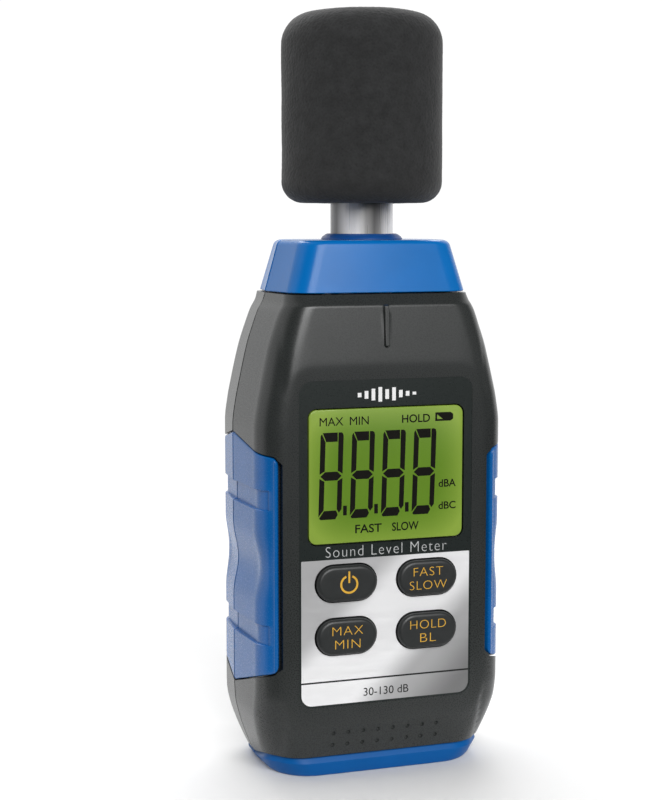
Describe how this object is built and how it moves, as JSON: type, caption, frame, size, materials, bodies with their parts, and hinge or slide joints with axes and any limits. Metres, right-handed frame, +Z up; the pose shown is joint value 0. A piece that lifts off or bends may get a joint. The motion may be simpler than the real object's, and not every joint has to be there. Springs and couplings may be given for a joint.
{
  "type": "sound level meter",
  "caption": "Handheld sound level meter with a green display, rubber keys, blue side grips and a foam windscreen on its microphone tube.",
  "frame": {"origin": "on the ground under the microphone's axis, at the centre of the base's footprint", "axes": "+Z up from the base to the microphone, -Y the side with the display and keys, +X to the right when the display is faced"},
  "size_m": [0.056, 0.034, 0.1587],
  "materials": {
    "charcoal_plastic": "fine moulded texture",
    "blue_plastic": "satin moulded plastic",
    "blue_rubber": "soft-touch, satin",
    "label": "printed film, charcoal above, brushed silver below",
    "display": "clear window over a yellow-green display",
    "display_glass": "polished glass with polariser",
    "key_rubber": "matt silicone with printed legends",
    "black_plastic": "matt",
    "diffuser": "milky",
    "contact_rubber": "matt",
    "board": "green solder mask",
    "chip": "moulded epoxy",
    "steel": "nickel plated",
    "polished_metal": "polished",
    "brass": "turned",
    "mat_rubber": "matt silicone",
    "sleeve": "shrink sleeve",
    "trimmer_plastic": "moulded",
    "cell_jacket": "printed jacket",
    "lead_black": "satin",
    "lead_red": "satin",
    "lead_grey": "satin",
    "foam": "open-cell foam"
  },
  "bodies": {
    "meter": {"amplifier_chip": "chip", "backlight_diffuser": "diffuser", "battery_1": "cell_jacket", "battery_2": "cell_jacket", "battery_3": "cell_jacket", "battery_contact_1": "steel", "battery_contact_2": "steel", "battery_contact_3": "steel", "battery_lead_black": "lead_black", "battery_lead_red": "lead_red", "battery_spring_1": "steel", "battery_spring_2": "steel", "battery_spring_3": "steel", "battery_tray": "black_plastic", "board_screw_1": "steel", "board_screw_2": "steel", "board_screw_3": "steel", "board_screw_4": "steel", "bottom_cap_front": "blue_plastic", "bottom_cap_rear": "blue_plastic", "calibration_trimmer": "trimmer_plastic", "capacitor": "sleeve", "case_screw_1": "steel", "case_screw_2": "steel", "case_screw_3": "steel", "case_screw_4": "steel", "crystal": "steel", "display_lens": "display", "face_label": "label", "front_shell": "charcoal_plastic", "grip_left_front": "blue_rubber", "grip_left_rear": "blue_rubber", "grip_right_front": "blue_rubber", "grip_right_rear": "blue_rubber", "keypad_mat": "mat_rubber", "lcd_frame": "black_plastic", "lcd_panel": "display_glass", "main_board": "board", "microphone_capsule": "black_plastic", "microphone_grid": "steel", "microphone_lead": "lead_grey", "microphone_tube": "polished_metal", "processor_chip": "chip", "rear_shell": "charcoal_plastic", "top_cap_front": "blue_plastic", "top_cap_rear": "blue_plastic", "tripod_insert": "brass", "tube_gasket": "blue_plastic", "zebra_strip": "contact_rubber"},
    "key_power": {"key_power": "key_rubber"},
    "key_fast_slow": {"key_fast_slow": "key_rubber"},
    "key_max_min": {"key_max_min": "key_rubber"},
    "key_hold_light": {"key_hold_light": "key_rubber"},
    "windscreen": {"windscreen": "foam"},
    "battery_cover": {"battery_cover": "charcoal_plastic", "cover_screw": "steel"}
  },
  "joints": [
    {"name": "key_power_press", "type": "slide", "parent": "meter", "child": "key_power", "axis": [0, 1, 0], "range_m": [0, 0.0008], "stiffness_N_per_m": 1500},
    {"name": "key_fast_slow_press", "type": "slide", "parent": "meter", "child": "key_fast_slow", "axis": [0, 1, 0], "range_m": [0, 0.0008], "stiffness_N_per_m": 1500},
    {"name": "key_max_min_press", "type": "slide", "parent": "meter", "child": "key_max_min", "axis": [0, 1, 0], "range_m": [0, 0.0008], "stiffness_N_per_m": 1500},
    {"name": "key_hold_light_press", "type": "slide", "parent": "meter", "child": "key_hold_light", "axis": [0, 1, 0], "range_m": [0, 0.0008], "stiffness_N_per_m": 1500},
    {"name": "windscreen_pull", "type": "slide", "parent": "meter", "child": "windscreen", "axis": [0, 0, 1], "range_m": [0, 0.035]},
    {"name": "battery_cover_hinge", "type": "hinge", "parent": "meter", "child": "battery_cover", "pos_m": [0, 0.0158, 0.016], "axis": [-1, 0, 0], "range_deg": [0, 60]}
  ]
}
